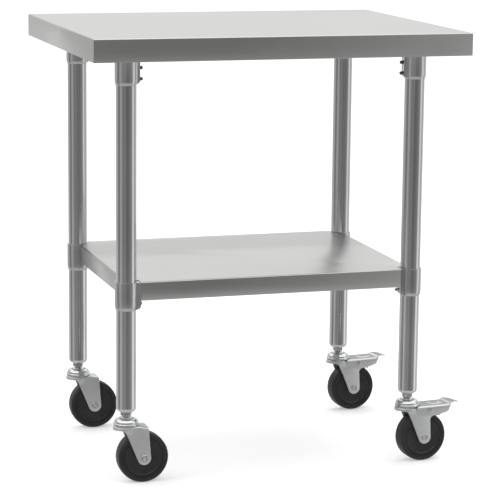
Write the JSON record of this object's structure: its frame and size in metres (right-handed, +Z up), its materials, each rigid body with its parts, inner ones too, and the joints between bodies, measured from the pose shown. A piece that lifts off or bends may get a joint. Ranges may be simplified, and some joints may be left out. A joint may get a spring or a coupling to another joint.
{
  "type": "kitchen island cart",
  "caption": "Rectangular stainless steel worktable on castors, with a folded-edge top, tubular legs, a clamped lower shelf and pedal brakes on one end.",
  "frame": {"origin": "on the floor, under the centre of the worktop", "axes": "+Z up, +X along the long side towards the braked castors, -Y towards the front"},
  "size_m": [0.7939, 0.61, 0.886],
  "materials": {
    "stainless_sheet": "satin brushed stainless sheet",
    "galvanised_channel": "galvanised sheet",
    "stainless_tube": "polished stainless tube",
    "cast_aluminium": "polished casting",
    "zinc_plate": "bright zinc plate",
    "bearing_steel": "polished balls",
    "black_screw": "black oxide",
    "black_rubber": "matt tread",
    "black_nylon": "moulded core"
  },
  "bodies": {
    "frame": {"worktop": "stainless_sheet", "channel_front": "galvanised_channel", "channel_back": "galvanised_channel", "channel_studs": "zinc_plate", "leg_fl": "stainless_tube", "leg_fr": "stainless_tube", "leg_bl": "stainless_tube", "leg_br": "stainless_tube", "socket_fl": "cast_aluminium", "socket_fr": "cast_aluminium", "socket_bl": "cast_aluminium", "socket_br": "cast_aluminium", "socket_screws": "black_screw", "leg_plug_fl": "zinc_plate", "leg_plug_fr": "zinc_plate", "leg_plug_bl": "zinc_plate", "leg_plug_br": "zinc_plate", "stem_fl": "zinc_plate", "stem_fr": "zinc_plate", "stem_bl": "zinc_plate", "stem_br": "zinc_plate", "race_cap_fl": "zinc_plate", "race_cap_fr": "zinc_plate", "race_cap_bl": "zinc_plate", "race_cap_br": "zinc_plate", "swivel_balls": "bearing_steel"},
    "undershelf": {"shelf": "stainless_sheet", "shelf_stiffener": "galvanised_channel", "shelf_clamp_fl": "cast_aluminium", "shelf_clamp_fr": "cast_aluminium", "shelf_clamp_bl": "cast_aluminium", "shelf_clamp_br": "cast_aluminium", "clamp_screws": "black_screw"},
    "castor_fork_fl": {"fork_fl": "zinc_plate", "axle_fl": "zinc_plate", "axle_nut_fl": "zinc_plate"},
    "castor_wheel_fl": {"tread_fl": "black_rubber", "wheel_core_fl": "black_nylon"},
    "castor_fork_fr": {"fork_fr": "zinc_plate", "axle_fr": "zinc_plate", "axle_nut_fr": "zinc_plate", "pedal_pin_fr": "zinc_plate"},
    "castor_wheel_fr": {"tread_fr": "black_rubber", "wheel_core_fr": "black_nylon"},
    "brake_fr": {"brake_pedal_fr": "zinc_plate", "brake_shoe_fr": "black_nylon"},
    "castor_fork_bl": {"fork_bl": "zinc_plate", "axle_bl": "zinc_plate", "axle_nut_bl": "zinc_plate"},
    "castor_wheel_bl": {"tread_bl": "black_rubber", "wheel_core_bl": "black_nylon"},
    "castor_fork_br": {"fork_br": "zinc_plate", "axle_br": "zinc_plate", "axle_nut_br": "zinc_plate", "pedal_pin_br": "zinc_plate"},
    "castor_wheel_br": {"tread_br": "black_rubber", "wheel_core_br": "black_nylon"},
    "brake_br": {"brake_pedal_br": "zinc_plate", "brake_shoe_br": "black_nylon"}
  },
  "joints": [
    {"name": "shelf_height", "type": "slide", "parent": "frame", "child": "undershelf", "axis": [0, 0, 1], "range_m": [-0.14, 0.26]},
    {"name": "swivel_fl", "type": "hinge", "parent": "frame", "child": "castor_fork_fl", "pos_m": [-0.296, -0.214, 0.114], "axis": [0, 0, 1], "continuous": true},
    {"name": "roll_fl", "type": "hinge", "parent": "castor_fork_fl", "child": "castor_wheel_fl", "pos_m": [-0.264, -0.214, 0.051], "axis": [0, 1, 0], "continuous": true},
    {"name": "swivel_fr", "type": "hinge", "parent": "frame", "child": "castor_fork_fr", "pos_m": [0.296, -0.214, 0.114], "axis": [0, 0, 1], "continuous": true},
    {"name": "roll_fr", "type": "hinge", "parent": "castor_fork_fr", "child": "castor_wheel_fr", "pos_m": [0.32782, -0.21066, 0.051], "axis": [-0.1045, 0.9945, 0], "continuous": true},
    {"name": "brake_fr", "type": "hinge", "parent": "castor_fork_fr", "child": "brake_fr", "pos_m": [0.34125, -0.20924, 0.1055], "axis": [-0.1045, 0.9945, 0], "range_deg": [0, 7]},
    {"name": "swivel_bl", "type": "hinge", "parent": "frame", "child": "castor_fork_bl", "pos_m": [-0.296, 0.214, 0.114], "axis": [0, 0, 1], "continuous": true},
    {"name": "roll_bl", "type": "hinge", "parent": "castor_fork_bl", "child": "castor_wheel_bl", "pos_m": [-0.264, 0.214, 0.051], "axis": [0, 1, 0], "continuous": true},
    {"name": "swivel_br", "type": "hinge", "parent": "frame", "child": "castor_fork_br", "pos_m": [0.296, 0.214, 0.114], "axis": [0, 0, 1], "continuous": true},
    {"name": "roll_br", "type": "hinge", "parent": "castor_fork_br", "child": "castor_wheel_br", "pos_m": [0.32782, 0.21735, 0.051], "axis": [-0.1045, 0.9945, 0], "continuous": true},
    {"name": "brake_br", "type": "hinge", "parent": "castor_fork_br", "child": "brake_br", "pos_m": [0.34125, 0.21876, 0.1055], "axis": [-0.1045, 0.9945, 0], "range_deg": [0, 7]}
  ]
}
